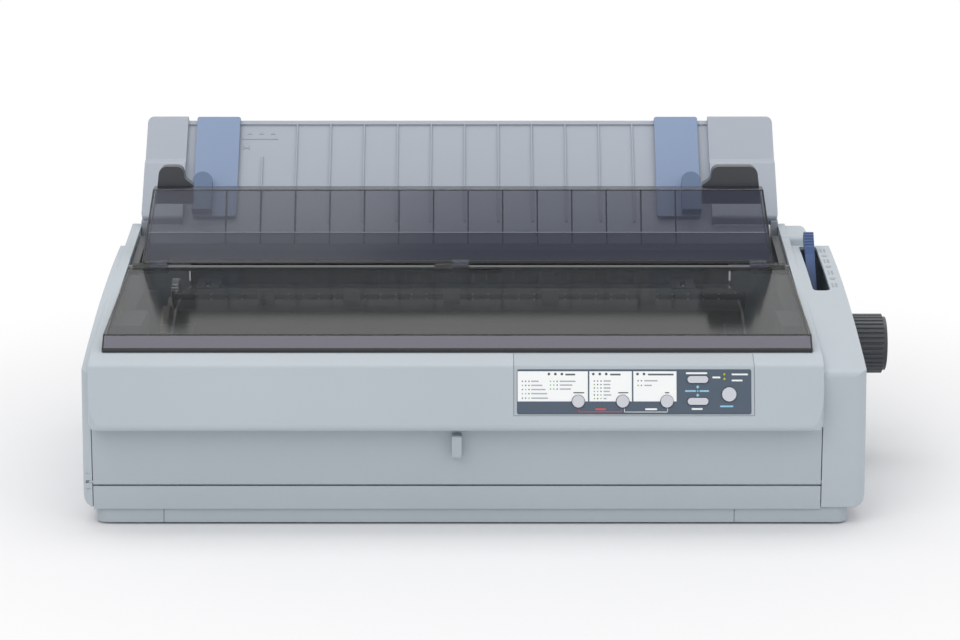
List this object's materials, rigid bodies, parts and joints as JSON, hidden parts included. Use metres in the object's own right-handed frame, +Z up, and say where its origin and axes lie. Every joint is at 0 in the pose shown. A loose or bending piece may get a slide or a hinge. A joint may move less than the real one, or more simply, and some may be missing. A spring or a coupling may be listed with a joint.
{
  "type": "dot matrix printer",
  "caption": "Wide-carriage dot matrix printer with smoked hinged cover and shield, rear paper guide with edge guides, fold-down front cover, control panel, platen knob and tractors.",
  "frame": {"origin": "on the desk, under the middle of the bounding box", "axes": "+X to the right of someone facing the control panel, along the platen; +Y to the rear; +Z up"},
  "size_m": [0.6388, 0.4027, 0.2553],
  "materials": {
    "casing": "light grey moulded ABS with a fine grain",
    "panel": "light grey moulded ABS of the fold-down cover and bezel",
    "base": "light grey moulded ABS of the pan",
    "rubber": "black rubber",
    "overlay": "slate printed film",
    "board": "green circuit board",
    "steel": "zinc-plated sheet steel and ground rod",
    "smoke": "smoked clear polycarbonate",
    "dark": "dark grey moulded plastic",
    "black": "black moulded plastic",
    "guide": "mid grey moulded ABS of the paper guide",
    "blue": "grey-blue moulded plastic of the edge guides",
    "lever": "blue moulded plastic",
    "button": "pale grey moulded plastic",
    "gear": "natural acetal",
    "roller": "pale grey rubber",
    "metal": "cast aluminium"
  },
  "bodies": {
    "chassis": {"base_tray": "base", "rubber_feet": "rubber", "upper_case": "casing", "control_bezel": "panel", "panel_overlay": "overlay", "control_board": "board", "side_frame_left": "steel", "side_frame_right": "steel", "carriage_rod": "steel", "carriage_rail": "steel", "front_chute": "panel", "paper_chute": "dark", "tear_off_deck": "dark", "main_board": "board", "power_supply": "steel", "feed_motor": "metal", "carriage_motor": "metal", "carriage_belt": "rubber", "ribbon_cartridge": "black", "platen_bushes": "gear", "cover_arms": "dark", "hinge_rod": "dark", "tractor_rail": "steel", "data_sockets": "dark", "power_inlet": "black", "case_screws": "steel"},
    "cover": {"printer_cover": "smoke"},
    "shield": {"paper_shield": "smoke", "shield_ears": "dark"},
    "guide": {"paper_guide": "guide"},
    "edge_left": {"edge_guide_left": "blue"},
    "edge_right": {"edge_guide_right": "blue"},
    "flap": {"front_cover": "panel"},
    "platen_shaft": {"platen": "rubber", "platen_knob": "dark", "platen_gear": "gear"},
    "pinion": {"feed_pinion": "gear"},
    "idler": {"idler_gear": "gear"},
    "tractor_shaft": {"tractor_drive": "steel"},
    "tractor_l": {"tractor_left": "black"},
    "tractor_r": {"tractor_right": "black"},
    "lid_l": {"tractor_lid_left": "dark"},
    "lid_r": {"tractor_lid_right": "dark"},
    "sprocket_l": {"sprocket_left": "gear"},
    "sprocket_r": {"sprocket_right": "gear"},
    "lever": {"release_lever": "lever"},
    "head_carriage": {"carriage": "dark", "print_head": "metal"},
    "pulley_motor": {"motor_pulley": "metal"},
    "pulley_idler": {"idler_pulley": "metal"},
    "bail": {"paper_bail": "dark"},
    "rollers": {"bail_rollers": "roller"},
    "switch_rocker": {"power_switch": "black"},
    "ribbon_winder": {"ribbon_knob": "blue"},
    "key_1": {"button_1": "button"},
    "key_2": {"button_2": "button"},
    "key_3": {"button_3": "button"},
    "key_up": {"button_up": "button"},
    "key_down": {"button_down": "button"},
    "key_pause": {"button_pause": "button"}
  },
  "joints": [
    {"name": "cover_hinge", "type": "hinge", "parent": "chassis", "child": "cover", "pos_m": [0, 0.022, 0.157], "axis": [-1, 0, 0], "range_deg": [0, 50]},
    {"name": "shield_hinge", "type": "hinge", "parent": "chassis", "child": "shield", "pos_m": [0, 0.022, 0.157], "axis": [1, 0, 0], "range_deg": [0, 50]},
    {"name": "guide_fold", "type": "hinge", "parent": "chassis", "child": "guide", "pos_m": [0, 0.126, 0.163], "axis": [-1, 0, 0], "range_deg": [0, 45]},
    {"name": "edge_left_slide", "type": "slide", "parent": "guide", "child": "edge_left", "axis": [1, 0, 0], "range_m": [-0.006, 0.06]},
    {"name": "edge_right_slide", "type": "slide", "parent": "guide", "child": "edge_right", "axis": [1, 0, 0], "range_m": [-0.28, 0.007]},
    {"name": "flap_hinge", "type": "hinge", "parent": "chassis", "child": "flap", "pos_m": [0, -0.1843, 0.034], "axis": [1, 0, 0], "range_deg": [0, 85]},
    {"name": "platen_spin", "type": "hinge", "parent": "chassis", "child": "platen_shaft", "pos_m": [0, 0.02, 0.094], "axis": [1, 0, 0], "continuous": true},
    {"name": "pinion_spin", "type": "hinge", "parent": "chassis", "child": "pinion", "pos_m": [0, 0.03956, 0.06012], "axis": [1, 0, 0], "continuous": true},
    {"name": "idler_spin", "type": "hinge", "parent": "chassis", "child": "idler", "pos_m": [0, 0.06597, 0.10436], "axis": [1, 0, 0], "continuous": true},
    {"name": "tractor_shaft_spin", "type": "hinge", "parent": "chassis", "child": "tractor_shaft", "pos_m": [0, 0.10023, 0.11208], "axis": [1, 0, 0], "continuous": true},
    {"name": "tractor_left_slide", "type": "slide", "parent": "chassis", "child": "tractor_l", "axis": [1, 0, 0], "range_m": [-0.003, 0.08]},
    {"name": "tractor_right_slide", "type": "slide", "parent": "chassis", "child": "tractor_r", "axis": [1, 0, 0], "range_m": [-0.26, 0.02]},
    {"name": "lid_left_hinge", "type": "hinge", "parent": "tractor_l", "child": "lid_l", "pos_m": [-0.2545, 0.10023, 0.12228], "axis": [0, -1, 0], "range_deg": [0, 90]},
    {"name": "lid_right_hinge", "type": "hinge", "parent": "tractor_r", "child": "lid_r", "pos_m": [0.1663, 0.10023, 0.12228], "axis": [0, 1, 0], "range_deg": [0, 90]},
    {"name": "sprocket_left_spin", "type": "hinge", "parent": "tractor_l", "child": "sprocket_l", "pos_m": [0, 0.10023, 0.11208], "axis": [1, 0, 0], "continuous": true},
    {"name": "sprocket_right_spin", "type": "hinge", "parent": "tractor_r", "child": "sprocket_r", "pos_m": [0, 0.10023, 0.11208], "axis": [1, 0, 0], "continuous": true},
    {"name": "release_lever_swing", "type": "hinge", "parent": "chassis", "child": "lever", "pos_m": [0.26, 0.019, 0.118], "axis": [1, 0, 0], "range_deg": [0, 80]},
    {"name": "carriage_slide", "type": "slide", "parent": "chassis", "child": "head_carriage", "axis": [1, 0, 0], "range_m": [-0.155, 0.158]},
    {"name": "motor_pulley_spin", "type": "hinge", "parent": "chassis", "child": "pulley_motor", "pos_m": [-0.2391, -0.078, 0.067], "axis": [0, 0, 1], "range_deg": [-1100, 1100]},
    {"name": "idler_pulley_spin", "type": "hinge", "parent": "chassis", "child": "pulley_idler", "pos_m": [0.1749, -0.078, 0.067], "axis": [0, 0, 1], "range_deg": [-1100, 1100]},
    {"name": "bail_swing", "type": "hinge", "parent": "chassis", "child": "bail", "pos_m": [0, 0.048, 0.112], "axis": [-1, 0, 0], "range_deg": [0, 30]},
    {"name": "bail_roller_spin", "type": "hinge", "parent": "bail", "child": "rollers", "pos_m": [0, 0.018, 0.134], "axis": [1, 0, 0], "continuous": true},
    {"name": "switch_rock", "type": "hinge", "parent": "chassis", "child": "switch_rocker", "pos_m": [-0.1851, 0.14, 0.0445], "axis": [-1, 0, 0], "range_deg": [0, 12]},
    {"name": "ribbon_winder_spin", "type": "hinge", "parent": "chassis", "child": "ribbon_winder", "pos_m": [0.1859, -0.13, 0.115], "axis": [0, 0, 1], "continuous": true},
    {"name": "key_1_press", "type": "slide", "parent": "chassis", "child": "key_1", "axis": [0, 0.9531, -0.3026], "range_m": [0, 0.001], "stiffness_N_per_m": 600, "springref_m": -0.0005},
    {"name": "key_2_press", "type": "slide", "parent": "chassis", "child": "key_2", "axis": [0, 0.9531, -0.3026], "range_m": [0, 0.001], "stiffness_N_per_m": 600, "springref_m": -0.0005},
    {"name": "key_3_press", "type": "slide", "parent": "chassis", "child": "key_3", "axis": [0, 0.9531, -0.3026], "range_m": [0, 0.001], "stiffness_N_per_m": 600, "springref_m": -0.0005},
    {"name": "key_up_press", "type": "slide", "parent": "chassis", "child": "key_up", "axis": [0, 0.9531, -0.3026], "range_m": [0, 0.001], "stiffness_N_per_m": 600, "springref_m": -0.0005},
    {"name": "key_down_press", "type": "slide", "parent": "chassis", "child": "key_down", "axis": [0, 0.9531, -0.3026], "range_m": [0, 0.001], "stiffness_N_per_m": 600, "springref_m": -0.0005},
    {"name": "key_pause_press", "type": "slide", "parent": "chassis", "child": "key_pause", "axis": [0, 0.9531, -0.3026], "range_m": [0, 0.001], "stiffness_N_per_m": 600, "springref_m": -0.0005}
  ],
  "couplings": [
    {"joint": "pinion_spin", "follows": "platen_spin", "ratio": -3.3333},
    {"joint": "idler_spin", "follows": "platen_spin", "ratio": -1.7647},
    {"joint": "tractor_shaft_spin", "follows": "platen_spin", "ratio": 1.6667},
    {"joint": "sprocket_left_spin", "follows": "platen_spin", "ratio": 1.6667},
    {"joint": "sprocket_right_spin", "follows": "platen_spin", "ratio": 1.6667},
    {"joint": "motor_pulley_spin", "follows": "carriage_slide", "rad_per_m": 119.05},
    {"joint": "idler_pulley_spin", "follows": "carriage_slide", "rad_per_m": 119.05}
  ]
}
